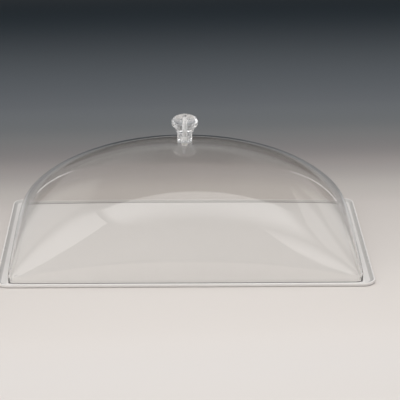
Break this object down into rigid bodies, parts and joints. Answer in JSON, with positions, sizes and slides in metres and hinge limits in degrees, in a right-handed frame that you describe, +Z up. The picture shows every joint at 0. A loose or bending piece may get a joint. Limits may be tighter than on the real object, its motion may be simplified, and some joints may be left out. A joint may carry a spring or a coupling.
{
  "type": "food cover",
  "caption": "Clear rectangular domed food cover with a mushroom knob, standing loose in a shallow white lipped tray and lifting straight off it.",
  "frame": {"origin": "centre of the tray's underside, on the surface that the tray stands on", "axes": "+Z up, X along the tray's long side, -Y towards the front that the picture shows"},
  "size_m": [0.53, 0.325, 0.198],
  "materials": {
    "white_tray_plastic": "gloss moulded white",
    "clear_dome_acrylic": "polished clear",
    "clear_knob_acrylic": "polished clear",
    "insert_metal": "bright turned",
    "screw_steel": "plain stainless",
    "clear_washer_vinyl": "soft clear vinyl"
  },
  "bodies": {
    "tray": {"tray": "white_tray_plastic"},
    "cover": {"cover_dome": "clear_dome_acrylic", "knob": "clear_knob_acrylic", "knob_insert": "insert_metal", "knob_screw": "screw_steel", "seal_washer": "clear_washer_vinyl", "screw_washer": "screw_steel"}
  },
  "joints": [
    {"name": "cover_lift", "type": "slide", "parent": "tray", "child": "cover", "axis": [0, 0, 1], "range_m": [0, 0.2]}
  ]
}
